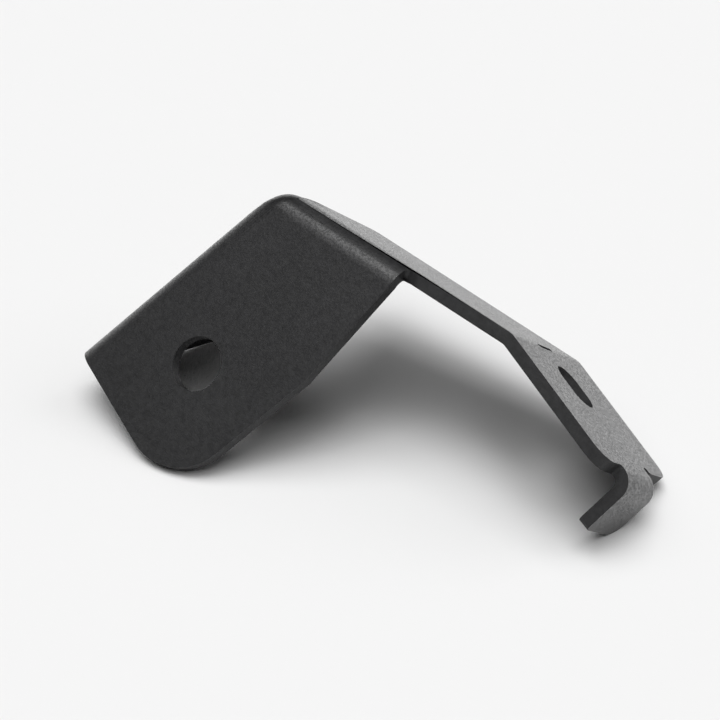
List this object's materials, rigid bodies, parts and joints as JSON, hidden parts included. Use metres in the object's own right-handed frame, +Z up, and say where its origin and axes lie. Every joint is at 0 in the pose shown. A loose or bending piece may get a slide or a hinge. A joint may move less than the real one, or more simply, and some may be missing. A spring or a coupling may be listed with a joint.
{
  "type": "antenna bracket",
  "caption": "One-piece folded sheet-metal antenna bracket: slanted plate with a stud hole, hidden side wall, kinked arm with a slot and a hooked end tab.",
  "frame": {"origin": "centre of the bounding box's base, on the level surface that the bracket lies on", "axes": "+Z up as the bracket lies on the plate's rounded corner, the side wall and the hook; +X along the main fold, seen from above, towards the hook"},
  "size_m": [0.1338, 0.0808, 0.0513],
  "materials": {
    "black_powder_coat": "fine matt black powder coat"
  },
  "bodies": {
    "root": {"bracket": "black_powder_coat"}
  },
  "joints": []
}
